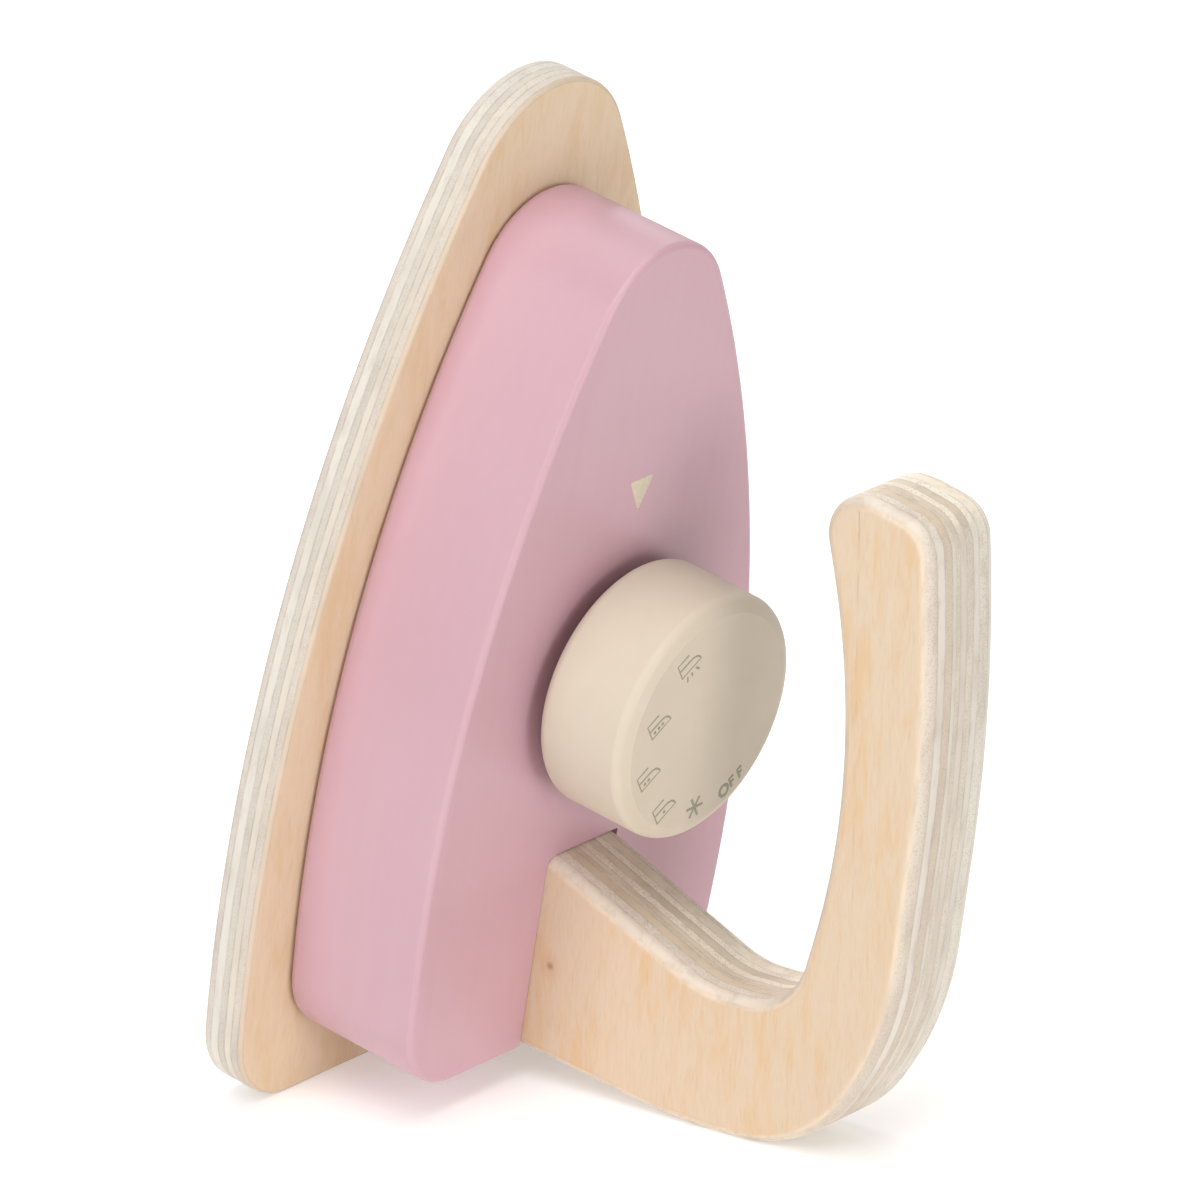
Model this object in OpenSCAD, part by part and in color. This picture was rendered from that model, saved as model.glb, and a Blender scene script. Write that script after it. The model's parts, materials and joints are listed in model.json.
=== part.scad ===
// A wooden toy iron, standing on its heel as it is put down between strokes.
// A plywood sole plate carries a painted wooden body. A plywood hook is let into a
// slot in the body as the handle, and a turned knob spins on the body's front.
//
// Every piece is drawn as the iron lies when it is used: X across, Y from heel to
// nose, Z up from the inner face of the sole plate. stand() then sets the whole
// iron on its heel, where it leans forward until the handle's bend touches down.

/* [Sole plate] */
// Length of the sole plate from heel to nose
sole_length = 180; // [150:1:220]
// Greatest width of the sole plate
sole_width = 100.4; // [88:0.1:120]
// Distance of the widest place from the heel
sole_widest = 36.6; // [28:0.1:50]
// Thickness of the sole plate's plywood
sole_thickness = 8.6; // [7:0.1:14]
// Radius of the nose in plan
sole_nose_r = 20; // [14:0.1:28]
// Radius of the two heel corners in plan
sole_heel_r = 14.5; // [8:0.5:20]
// Rounding sanded on every arris of the sole plate
sole_arris = 0.9; // [0.4:0.1:2]

/* [Body] */
// Bare sole plate beside the body at its widest
body_side_margin = 9.8; // [5:0.1:13]
// Bare sole plate beyond the body's nose
body_nose_margin = 18.8; // [10:0.1:25]
// Bare sole plate below the body's heel
body_heel_margin = 12.1; // [6:0.1:15]
// Distance of the body's widest place from the sole plate's heel
body_widest = 45; // [36:0.1:54]
// Depth of the body block, from the sole plate to its front face
body_depth = 27.7; // [25:0.1:34]
// Radius of the body's nose in plan
body_nose_r = 16.5; // [11:0.1:21]
// Radius of the body's two heel corners in plan
body_heel_r = 13; // [8:0.5:16]
// Rounding of the arris round the front face
body_front_arris = 1.2; // [0.5:0.1:3]
// Rounding of the arris against the sole plate
body_back_arris = 1.8; // [0.5:0.1:2.5]

/* [Handle] */
// Thickness of the handle's plywood
handle_w = 18; // [14:0.5:22]
// Distance of the grip's outer face from the sole plate
handle_reach = 101.7; // [94:0.1:115]
// Distance of the handle's tip from the sole plate's heel
handle_length = 138.6; // [125:0.1:155]
// Height of the foot in the body's slot, along the iron
foot_height = 37; // [32:0.5:42]
// Depth of the lower limb between the foot and the bend
bend_depth = 26.5; // [22:0.5:30]
// Depth of the grip at its waist
grip_depth = 17.6; // [13:0.1:20]
// Depth of the flared tip
tip_depth = 23; // [17:0.1:26]
// Rounding of the handle's long arrises
handle_arris = 2.2; // [1:0.1:3]

/* [Knob] */
// Distance of the knob's axis from the sole plate's heel
knob_place = 82.2; // [76:0.1:92]
// Diameter of the knob
knob_d = 44.2; // [36:0.1:48]
// Height of the knob between its two faces
knob_height = 18.5; // [17:0.5:20]
// Rounding at the knob's back edge
knob_back_r = 2; // [1:0.1:3]
// Rounding of the knob's front rim
knob_front_r = 2; // [1:0.1:4]
// Width of the sloped rim round the knob's flat face
knob_rim = 2.6; // [1.5:0.1:4]
// Slope in degrees at which the rim meets the flat face
knob_rim_slope = 25; // [10:1:40]

/* [Knob fastening] */
// Diameter of the machine screw that holds the knob
screw_d = 5; // [4:0.5:6]
// Length of the machine screw under its head
screw_length = 34; // [32:0.5:36]
// Diameter of the machine screw's head
screw_head_d = 9.2; // [8:0.1:11]
// Height of the machine screw's head
screw_head_h = 3; // [2:0.1:4]
// Width across the flats of the machine screw's socket
screw_socket_w = 3; // [2:0.5:4]
// Depth of the machine screw's socket
screw_socket_depth = 1.6; // [1:0.1:2]
// Diameter of the brass insert in the knob
insert_d = 8; // [7.5:0.1:10]
// Length of the brass insert, its flange included
insert_length = 12; // [9:0.5:13]
// Diameter of the insert's flange
insert_flange_d = 11; // [10.5:0.1:13]
// Thickness of the insert's flange
insert_flange_t = 1; // [0.8:0.1:1.5]
// Thickness of the felt washer between body and knob
felt_t = 2.9; // [2:0.1:4]
// Diameter of the felt washer
felt_d = 20; // [14:1:26]
// Diameter of the flat washer and of the spring washer
washer_d = 12; // [11:0.5:14]
// Thickness of the flat washer
washer_t = 1.2; // [0.8:0.1:1.6]
// Thickness of the spring washer's metal
spring_t = 0.6; // [0.4:0.1:1]
// Height of the spring washer's cone when it is squeezed
spring_rise = 0.5; // [0.2:0.1:0.8]
// Depth of the counterbore in the body's back
counterbore_depth = 9; // [8:0.1:11]

/* [Screws and dowels] */
// Diameter of the two wood screws that hold the handle
wood_screw_d = 4.2; // [3:0.1:5]
// Length of the two wood screws
wood_screw_length = 40; // [34:1:44]
// Diameter of the wood screws' countersunk heads
wood_screw_head_d = 8.4; // [7:0.1:10]
// Depth of the cross recess in the wood screws' heads
wood_screw_recess = 1.6; // [1:0.1:2]
// Width of the cross recess's slots
wood_screw_slot_w = 0.9; // [0.6:0.1:1.2]
// Length of the wood screws' points
wood_screw_point = 4; // [3:0.5:6]
// Diameter of the three dowels between body and sole plate
dowel_d = 6; // [5:0.5:8]
// Length of a dowel
dowel_length = 20; // [17:0.5:24]
// Length of a dowel that sits in the sole plate
dowel_in_sole = 5.2; // [4:0.1:6]
// Chamfer on the dowels' ends
dowel_chamfer = 0.8; // [0.4:0.1:1]
// Distance of the nose dowel from the sole plate's heel
nose_dowel_place = 132; // [120:1:138]
// Distance of the two heel dowels from the sole plate's heel
heel_dowel_place = 40; // [34:1:46]
// Distance of the two heel dowels from the middle
heel_dowel_side = 24; // [20:1:28]

/* [Fits] */
// Clearance all round the handle's foot in its slot
slot_fit = 0.1; // [0.05:0.05:0.3]
// Depth of the slot in the body's front
slot_depth = 15; // [12:0.5:17]
// Radial clearance of the machine screw in the body's bore
turning_fit = 0.08; // [0.03:0.01:0.1]
// Gap that lets the knob turn between its washers
turning_gap = 0.1; // [0.05:0.05:0.3]
// Radial clearance of the screws in washers and clearance holes
loose_fit = 0.2; // [0.1:0.05:0.3]
// Depth that a blind hole runs on beyond what it holds
hole_end_gap = 0.5; // [0.2:0.1:1]
// Depth of the wood screws' heads below the body's back
head_sink = 0.3; // [0.1:0.1:0.6]

/* [Smoothness] */
// Furthest that a chord of an outline lies from its arc
chord_error = 0.02; // [0.01:0.01:0.1]
// Steps in the rounding of an arris
arris_steps = 4; // [2:1:6]
// Segments in a full turn of the bores and turned pieces
turn_segments = 96; // [48:8:160]

/* [Hidden] */
$fn = turn_segments;

plywood = [0.88, 0.75, 0.6];
beech = [0.8, 0.62, 0.44];
pink_paint = [0.84, 0.62, 0.66];
cream_paint = [0.87, 0.8, 0.72];
steel = [0.72, 0.73, 0.75];
brass = [0.8, 0.65, 0.32];
grey_felt = [0.55, 0.53, 0.5];

// Overrun of every cut past the face that it opens
cut = sole_arris;

// The body's outline, from the sole plate's and its margins
body_width = sole_width - 2 * body_side_margin;
body_nose = sole_length - body_nose_margin;
body_heel = body_heel_margin;

// The foot fills the slot from the body's heel upward
foot_end = body_heel + foot_height;
slot_floor = body_depth - slot_depth;
slot_side = handle_w / 2 + slot_fit;
slot_corner_r = handle_arris;

// Spans that the handle's side view is shared over: along the iron and out from the body
handle_run = handle_length - body_heel;
handle_rise = handle_reach - body_depth;
// Outer corners of the handle from foot to tip, the last on its crown: along, out, fillet as a share of the rise
outer_shares = [[0.013, 0.447, 1.5], [0.061, 0.831, 0.4], [0.285, 1, 0.78],
    [0.743, 0.98, 3.8], [1.002, 0.879, 0.092], [1.007, 0.717, 0.224]];
// Inner corners: the waist of the lower limb, the finger hollow, the grip, the tip, the slot's mouth
waist_shares = [0.478, 0.247];
hollow_shares = [0.252, 0.719, 0.18];
grip_along_share = 0.639;
grip_fillet_share = 1.76;
tip_slant_share = 0.014;
tip_fillet_share = 0.103;
mouth_fillet_share = 0.124;
// How far the tangents of the grip's inner curve cross above it, as a share of the grip's depth
grip_bow_share = 0.182;

function handle_outer(i) = [body_heel + outer_shares[i][0] * handle_run,
    body_depth + outer_shares[i][1] * handle_rise, outer_shares[i][2] * handle_rise];

// Corners of the handle's side view, counter-clockwise from the foot's upper end along the
// inner side to the tip, and back along the outer side: along, up, fillet
handle_corners = [
    [foot_end, slot_floor, 0],
    [foot_end, body_depth, mouth_fillet_share * handle_rise],
    [handle_outer(0)[0] + bend_depth, body_depth + waist_shares[0] * handle_rise, waist_shares[1] * handle_rise],
    [body_heel + hollow_shares[0] * handle_run, body_depth + hollow_shares[1] * handle_rise,
        hollow_shares[2] * handle_rise],
    [body_heel + grip_along_share * handle_run, handle_reach - grip_depth * (1 - grip_bow_share),
        grip_fillet_share * handle_rise],
    [handle_outer(4)[0] - tip_slant_share * handle_run, handle_outer(4)[1] - tip_depth,
        tip_fillet_share * handle_rise],
    handle_outer(5), handle_outer(4), handle_outer(3), handle_outer(2), handle_outer(1), handle_outer(0),
    [body_heel, slot_floor, 0]];
handle_outline = rounded(handle_corners);
handle_inner_corners = 6;
handle_inner_count = len([for (i = [0:handle_inner_corners - 1]) each rounded_corner(handle_corners, i)]);

// The knob and its stack of washers, upward from the sole plate
knob_r = knob_d / 2;
knob_base = body_depth + felt_t + turning_gap;
knob_flat_r = knob_r - knob_rim;
knob_rim_drop = knob_rim * tan(knob_rim_slope);
screw_r = screw_d / 2;
washer_base = counterbore_depth - washer_t;
spring_base = washer_base - spring_t - spring_rise;
screw_bearing = spring_base - turning_gap;
counterbore_r = washer_d / 2 + loose_fit;
washer_hole_r = screw_r + loose_fit;
body_bore_r = screw_r + turning_fit;

// The wood screws, whose places follow the foot's height
wood_screw_r = wood_screw_d / 2;
wood_head_r = wood_screw_head_d / 2;
wood_screw_place_shares = [0.26, 0.74];
wood_point_share = 0.1;

// The lean at which the heel's inner arris and the handle's bend both touch the ground
lean = min([for (p = handle_outline) let (along = p[0] - sole_arris, up = p[1] + sole_arris)
    acos(-sole_arris / norm([along, up])) - atan2(up, along)]);
// Depth and height of a point [along, up] of the lying iron once it stands
function stood(p) = [-p[0] * sin(lean) - p[1] * cos(lean), p[0] * cos(lean) - p[1] * sin(lean)];
handle_stood = [for (p = handle_outline) stood(p)];
stand_front = min([for (p = handle_stood) p[0]]);
stand_back = stood([sole_arris, sole_arris - sole_thickness])[0] + sole_arris;
stand_low = min([for (p = handle_stood) p[1]]);

// Angle between two points of an arc whose chord stays within the chord error
function arc_step(r) = 2 * acos(1 - min(chord_error, r / 4) / r);

// Points of an arc with outward normals: centre, radius, first angle, sweep, side that is outside
function arc_points(centre, r, first, sweep, side = 1, from = 0) =
    let (steps = max(2, ceil(abs(sweep) / arc_step(r))))
    [for (k = [from:steps]) let (a = first + sweep * k / steps)
        [centre[0] + r * cos(a), centre[1] + r * sin(a), side * cos(a), side * sin(a)]];

// Edge that leaves corner i of a closed polygon, and the turn made at that corner
function before(c, i) = (i + len(c) - 1) % len(c);
function edge(c, i) = let (p = c[i], q = c[(i + 1) % len(c)]) [q[0] - p[0], q[1] - p[1]];
function turn(c, i) = let (a = edge(c, before(c, i)), b = edge(c, i)) atan2(cross(a, b), a * b);

// Length that corner i's fillet takes from its edges, and the share of it that edge i has room for
function fillet_reach(c, i) = c[i][2] * tan(abs(turn(c, i)) / 2);
function edge_room(c, i) = let (taken = fillet_reach(c, i) + fillet_reach(c, (i + 1) % len(c)))
    taken > norm(edge(c, i)) ? norm(edge(c, i)) / taken : 1;
function fillet(c, i) = c[i][2] * min(edge_room(c, before(c, i)), edge_room(c, i));

// Outline of a counter-clockwise polygon with its fillets, each point with its outward normal
function rounded(c) = [for (i = [0:len(c) - 1]) each rounded_corner(c, i)];
function rounded_corner(c, i) = let (
        a = edge(c, before(c, i)) / norm(edge(c, before(c, i))),
        b = edge(c, i) / norm(edge(c, i)),
        sweep = turn(c, i),
        side = sign(sweep),
        r = fillet(c, i))
    r == 0 || sweep == 0 ? [sharp_corner(c[i], [a[1], -a[0]], [b[1], -b[0]])] : let (
        start = [c[i][0], c[i][1]] - a * r * tan(abs(sweep) / 2),
        centre = start + side * r * [-a[1], a[0]],
        first = atan2(start[1] - centre[1], start[0] - centre[0]))
    arc_points(centre, r, first, sweep, side);
function sharp_corner(p, out_a, out_b) = let (n = (out_a + out_b) / (1 + out_a * out_b))
    [p[0], p[1], n[0], n[1]];

// Plan of an iron: two long side arcs that meet the nose and the heel corners smoothly
function iron_outline(half, heel, nose, widest, nose_r, heel_r) = let (
        nose_c = [0, nose - nose_r],
        side_r = (half * half + pow(nose_c[1] - widest, 2) - nose_r * nose_r) / (2 * (half - nose_r)),
        side_c = [half - side_r, widest],
        heel_c = [sqrt(pow(side_r - heel_r, 2) - pow(widest - heel - heel_r, 2)) + side_c[0], heel + heel_r],
        low = atan2(heel_c[1] - side_c[1], heel_c[0] - side_c[0]),
        high = atan2(nose_c[1] - side_c[1], nose_c[0] - side_c[0]))
    concat(
        arc_points(heel_c, heel_r, -90, 90 + low),
        arc_points(side_c, side_r, low, high - low, from = 1),
        arc_points(nose_c, nose_r, high, 180 - 2 * high, from = 1),
        arc_points([-side_c[0], side_c[1]], side_r, 180 - high, high - low, from = 1),
        arc_points([-heel_c[0], heel_c[1]], heel_r, 180 - low, 90 + low, from = 1));

// Triangles that close a ring, taken in turn from the side that runs up to point last and the
// side that runs down from the ring's end, always over the shorter diagonal
function zip(ring, a, b, last) = a == last && b == last + 1 ? [] : let (
        upward = b == last + 1 || (a < last && norm(ring[a + 1] - ring[b]) <= norm(ring[a] - ring[b - 1])))
    concat([upward ? [a, a + 1, b] : [a, b - 1, b]],
        zip(ring, upward ? a + 1 : a, upward ? b : b - 1, last));

// A plate of an outline from Z 0 up to its depth, with its lower and upper arris rounded.
// The outline's first side has near_count points, from its start to its far end
module softened_plate(outline, near_count, depth, low_arris, high_arris) {
    count = len(outline);
    steps = [for (k = [0:arris_steps]) 90 * k / arris_steps];
    rings = concat(
        [for (t = steps) [low_arris * (1 - sin(t)), low_arris * (1 - cos(t))]],
        [for (t = steps) [high_arris * (1 - cos(t)), depth - high_arris * (1 - sin(t))]]);
    points = [for (ring = rings, p = outline) [p[0] - p[2] * ring[0], p[1] - p[3] * ring[0], ring[1]]];
    last = (len(rings) - 1) * count;
    walls = [for (k = [0:len(rings) - 2], i = [0:count - 1]) let (
            a = k * count + i,
            b = k * count + (i + 1) % count)
        each [[a, a + count, b + count], [a, b + count, b]]];
    lower = zip([for (i = [0:count - 1]) points[i]], 0, count - 1, near_count - 1);
    upper = [for (t = zip([for (i = [0:count - 1]) points[last + i]], 0, count - 1, near_count - 1))
        [last + t[2], last + t[1], last + t[0]]];
    polyhedron(points, concat(lower, walls, upper), convexity = 6);
}

// Sets the lying iron on its heel, centred over the ground
module stand() translate([0, -(stand_front + stand_back) / 2, -stand_low]) rotate([90 + lean, 0, 0]) children();

// A round bar or bore along Z at a place on the sole plate
module bar(place, r, low, high) translate([place[0], place[1], low]) cylinder(r = r, h = high - low);

// A ring along Z on the knob's axis
module ring(outer_r, inner_r, low, high) difference() {
    bar([0, knob_place], outer_r, low, high);
    bar([0, knob_place], inner_r, low - cut, high + cut);
}

// Places of the fasteners on the sole plate
nose_dowel = [0, nose_dowel_place];
left_dowel = [-heel_dowel_side, heel_dowel_place];
right_dowel = [heel_dowel_side, heel_dowel_place];
lower_screw = [0, body_heel + wood_screw_place_shares[0] * foot_height];
upper_screw = [0, body_heel + wood_screw_place_shares[1] * foot_height];

module sole_plate() color(plywood) stand() difference() {
    outline = iron_outline(sole_width / 2, 0, sole_length, sole_widest, sole_nose_r, sole_heel_r);
    translate([0, 0, -sole_thickness])
        softened_plate(outline, ceil(len(outline) / 2), sole_thickness, sole_arris, sole_arris);
    for (place = [nose_dowel, left_dowel, right_dowel]) bar(place, dowel_d / 2, -dowel_in_sole, cut);
}

// A dowel of hard wood, glued half in the sole plate and half in the body
module sole_dowel(place) color(beech) stand() translate([place[0], place[1], -dowel_in_sole])
    rotate_extrude() polygon([[0, 0], [dowel_d / 2 - dowel_chamfer, 0], [dowel_d / 2, dowel_chamfer],
        [dowel_d / 2, dowel_length - dowel_chamfer], [dowel_d / 2 - dowel_chamfer, dowel_length],
        [0, dowel_length]]);
module sole_dowel_nose() sole_dowel(nose_dowel);
module sole_dowel_left() sole_dowel(left_dowel);
module sole_dowel_right() sole_dowel(right_dowel);

// The slot for the handle's foot: open at the heel and the front, its inner end rounded
module handle_slot() {
    slot_end = foot_end + slot_fit;
    height = slot_depth + cut;
    translate([-slot_side, body_heel - cut, slot_floor])
        cube([2 * slot_side, slot_end - slot_corner_r - body_heel + cut, height]);
    translate([slot_corner_r - slot_side, body_heel, slot_floor])
        cube([2 * (slot_side - slot_corner_r), slot_end - body_heel, height]);
    for (side = [-1, 1])
        bar([side * (slot_side - slot_corner_r), slot_end - slot_corner_r], slot_corner_r, slot_floor,
            slot_floor + height);
}

// Clearance hole and countersink for a wood screw through the slot's floor
module wood_screw_hole(place) {
    bar(place, wood_screw_r + loose_fit, -cut, slot_floor + cut);
    translate([place[0], place[1], head_sink]) wood_screw_head();
    bar(place, wood_head_r, -cut, head_sink);
}

module body() color(pink_paint) stand() difference() {
    outline = iron_outline(body_width / 2, body_heel, body_nose, body_widest, body_nose_r, body_heel_r);
    softened_plate(outline, ceil(len(outline) / 2), body_depth, body_back_arris, body_front_arris);
    handle_slot();
    for (place = [lower_screw, upper_screw]) wood_screw_hole(place);
    for (place = [nose_dowel, left_dowel, right_dowel])
        bar(place, dowel_d / 2, -cut, dowel_length - dowel_in_sole + hole_end_gap);
    bar([0, knob_place], counterbore_r, -cut, counterbore_depth);
    bar([0, knob_place], body_bore_r, 0, body_depth + cut);
}

module handle() color(plywood) stand() difference() {
    rotate([90, 0, 90]) translate([0, 0, -handle_w / 2])
        softened_plate(handle_outline, handle_inner_count, handle_w, handle_arris, handle_arris);
    for (place = [lower_screw, upper_screw])
        bar(place, wood_screw_r, slot_floor - cut, head_sink + wood_screw_length + hole_end_gap);
}

// The countersunk cone of a wood screw, from its flat top down to the shank
module wood_screw_head() cylinder(r1 = wood_head_r, r2 = wood_screw_r, h = wood_head_r - wood_screw_r);

module wood_screw(place) color(steel) stand() translate([place[0], place[1], head_sink]) difference() {
    union() {
        wood_screw_head();
        cylinder(r = wood_screw_r, h = wood_screw_length - wood_screw_point);
        translate([0, 0, wood_screw_length - wood_screw_point])
            cylinder(r1 = wood_screw_r, r2 = wood_point_share * wood_screw_r, h = wood_screw_point);
    }
    for (quarter = [0, 90]) rotate([0, 0, quarter])
        translate([-wood_screw_r, -wood_screw_slot_w / 2, -cut])
            cube([wood_screw_d, wood_screw_slot_w, wood_screw_recess + cut]);
}
module handle_screw_upper() wood_screw(upper_screw);
module handle_screw_lower() wood_screw(lower_screw);

// Profile of the turned knob from its axis outward: rounded back edge, rounded rim, flat face
knob_corners = [[0, 0, 0], [knob_r, 0, knob_back_r],
    [knob_r, knob_height - knob_rim_drop, knob_front_r], [knob_flat_r, knob_height, 0],
    [0, knob_height, 0]];

module knob() color(cream_paint) stand() difference() {
    translate([0, knob_place, knob_base]) rotate_extrude()
        polygon([for (p = rounded(knob_corners)) [p[0], p[1]]]);
    bar([0, knob_place], insert_flange_d / 2, knob_base - cut, knob_base + insert_flange_t);
    bar([0, knob_place], insert_d / 2, knob_base, knob_base + insert_length + hole_end_gap);
}

module knob_insert() color(brass) stand() {
    ring(insert_flange_d / 2, screw_r, knob_base, knob_base + insert_flange_t);
    ring(insert_d / 2, screw_r, knob_base + insert_flange_t, knob_base + insert_length);
}

module knob_screw() color(steel) stand() difference() {
    union() {
        bar([0, knob_place], screw_head_d / 2, screw_bearing - screw_head_h, screw_bearing);
        bar([0, knob_place], screw_r, screw_bearing - screw_head_h, screw_bearing + screw_length);
    }
    translate([0, knob_place, screw_bearing - screw_head_h - cut])
        cylinder(r = screw_socket_w / sqrt(3), h = screw_socket_depth + cut, $fn = 6);
}

module screw_washer() color(steel) stand() ring(washer_d / 2, washer_hole_r, washer_base, counterbore_depth);

// A disc spring, whose shallow cone keeps a light drag on the knob
module spring_washer() color(steel) stand() translate([0, knob_place, spring_base]) rotate_extrude()
    polygon([[washer_hole_r, 0], [washer_hole_r, spring_t], [washer_d / 2, spring_rise + spring_t],
        [washer_d / 2, spring_rise]]);

module felt_washer() color(grey_felt) stand() ring(felt_d / 2, washer_hole_r, body_depth, body_depth + felt_t);

sole_plate();
sole_dowel_nose();
sole_dowel_left();
sole_dowel_right();
body();
handle();
handle_screw_upper();
handle_screw_lower();
knob();
knob_insert();
knob_screw();
screw_washer();
spring_washer();
felt_washer();
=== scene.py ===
import json
import math

import bmesh
import bpy
from mathutils import Matrix, Vector


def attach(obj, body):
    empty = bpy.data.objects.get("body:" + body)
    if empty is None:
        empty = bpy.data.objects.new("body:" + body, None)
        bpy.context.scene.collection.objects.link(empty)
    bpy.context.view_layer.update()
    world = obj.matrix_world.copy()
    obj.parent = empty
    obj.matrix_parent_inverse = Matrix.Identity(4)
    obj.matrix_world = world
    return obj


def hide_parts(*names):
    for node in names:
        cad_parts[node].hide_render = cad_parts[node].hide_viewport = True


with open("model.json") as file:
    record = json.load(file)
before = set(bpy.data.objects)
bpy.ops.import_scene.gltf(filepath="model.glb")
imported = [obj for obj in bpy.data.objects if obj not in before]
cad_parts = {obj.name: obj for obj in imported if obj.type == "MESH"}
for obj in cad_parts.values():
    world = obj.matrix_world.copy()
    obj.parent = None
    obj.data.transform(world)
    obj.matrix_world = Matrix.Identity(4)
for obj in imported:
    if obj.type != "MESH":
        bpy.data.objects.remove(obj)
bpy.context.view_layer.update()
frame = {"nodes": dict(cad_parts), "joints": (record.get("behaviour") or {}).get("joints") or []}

print("frame loaded:", len(frame["nodes"]), "nodes")

# Pieces are modelled in millimetres as the iron lies on its sole plate: X across, Y from heel
# to nose, Z out from the sole plate's inner face. The knob's joint says how it stands.
knobJoint = frame["joints"][0]
bodyDepth = 27.7
knobCentre = Vector((0, 82.2, bodyDepth))  # the joint's place on the lying iron
millimetre = 0.001
lean = math.atan2(-knobJoint["axis"][2], -knobJoint["axis"][1])
standing = (
    Matrix.Translation(knobJoint["pos_m"])
    @ Matrix.Rotation(math.pi / 2 + lean, 4, "X")
    @ Matrix.Scale(millimetre, 4)
    @ Matrix.Translation(-knobCentre)
)

drawing = {
    "chordError": 0.01, "mergeDistance": 0.001, "flatness": 0.0001, "overrun": 1,
    "arrisSteps": 6, "fineArrisSteps": 8, "turnSteps": 160, "boreSteps": 64,
}


# Drawing outlines
def stepsFor(radius, sweep):
    step = 2 * math.acos(1 - min(drawing["chordError"], radius / 4) / radius)
    return max(3, math.ceil(abs(sweep) / step))


def addPoint(bm, last, x, y):
    # Draws a line to a new point, unless the last one is there already
    if last and (last.co.xy - Vector((x, y))).length < drawing["mergeDistance"]:
        return last
    vert = bm.verts.new((x, y, 0))
    if last:
        bm.edges.new((last, vert))
    return vert


def spinPoint(bm, vert, centre, sweep):
    # Draws an arc by turning the outline's last point about a centre
    radius = (vert.co.xy - Vector(centre[:2])).length
    spun = bmesh.ops.spin(
        bm, geom=[vert], cent=(centre[0], centre[1], 0), axis=(0, 0, 1), dvec=(0, 0, 0),
        angle=sweep, steps=stepsFor(radius, sweep), use_duplicate=False,
    )
    return [g for g in spun["geom_last"] if isinstance(g, bmesh.types.BMVert)][0]


def traceCorners(bm, corners, closed=True):
    # Walks along corners of x, y and fillet, and rounds each one with an arc. Two fillets
    # that don't fit on the run between them shrink alike.
    count = len(corners)
    points = [Vector(c[:2]) for c in corners]
    runs = [points[(i + 1) % count] - points[i] for i in range(count)]
    turns = [math.atan2(runs[i - 1].cross(runs[i]), runs[i - 1].dot(runs[i])) for i in range(count)]
    reach = [corners[i][2] * math.tan(abs(turns[i]) / 2) for i in range(count)]
    room = [min(1, runs[i].length / max(reach[i] + reach[(i + 1) % count], 1e-9)) for i in range(count)]
    first = last = None
    for i in range(count):
        fillet = corners[i][2] * min(room[i - 1], room[i])
        if fillet <= 0:
            last = addPoint(bm, last, *points[i])
        else:
            along = runs[i - 1].normalized()
            start = points[i] - along * fillet * math.tan(abs(turns[i]) / 2)
            inward = Vector((-along.y, along.x)) * math.copysign(1, turns[i])
            last = addPoint(bm, last, *start)
            first = first or last
            last = spinPoint(bm, last, start + inward * fillet, turns[i])
        first = first or last
    if closed:
        bm.edges.new((last, first))


def traceIron(bm, plan):
    # Half an iron's plan as three arcs from the heel's middle to the nose, then its mirror image
    noseAt = plan["nose"] - plan["noseRound"]
    half = plan["width"] / 2
    sideRadius = (half**2 + (noseAt - plan["widest"]) ** 2 - plan["noseRound"] ** 2) / (
        2 * (half - plan["noseRound"])
    )
    sideAt = Vector((half - sideRadius, plan["widest"]))
    heelHeight = plan["heel"] + plan["heelRound"]
    reach = sideRadius - plan["heelRound"]
    heelAt = Vector((math.sqrt(reach**2 - (plan["widest"] - heelHeight) ** 2) + sideAt.x, heelHeight))
    low = math.atan2(heelAt.y - sideAt.y, heelAt.x - sideAt.x)
    high = math.atan2(noseAt - sideAt.y, -sideAt.x)
    last = addPoint(bm, None, 0, plan["heel"])
    last = addPoint(bm, last, heelAt.x, plan["heel"])
    last = spinPoint(bm, last, heelAt, math.pi / 2 + low)
    last = spinPoint(bm, last, sideAt, high - low)
    spinPoint(bm, last, (0, noseAt), math.pi / 2 - high)
    bmesh.ops.mirror(
        bm, geom=bm.verts[:] + bm.edges[:], axis="X", matrix=Matrix.Identity(4),
        merge_dist=drawing["mergeDistance"],
    )


# Making solids
def raisePlate(bm, low, high):
    # Fills the drawn outline and raises it into a plate
    face = bmesh.ops.contextual_create(bm, geom=bm.edges[:])["faces"][0]
    bmesh.ops.translate(bm, verts=bm.verts, vec=(0, 0, low))
    raised = bmesh.ops.extrude_face_region(bm, geom=[face])["geom"]
    top = [g for g in raised if isinstance(g, bmesh.types.BMVert)]
    bmesh.ops.translate(bm, verts=top, vec=(0, 0, high - low))
    bmesh.ops.recalc_face_normals(bm, faces=bm.faces)


def roundArris(bm, level, radius, steps=drawing["arrisSteps"]):
    # Rounds the arris all round the flat face at a level
    arris = [e for e in bm.edges if all(abs(v.co.z - level) < drawing["flatness"] for v in e.verts)]
    bmesh.ops.bevel(
        bm, geom=arris, offset=radius, offset_type="OFFSET", affect="EDGES", segments=steps,
        profile=0.5, material=-1, clamp_overlap=False, loop_slide=True,
    )


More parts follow.
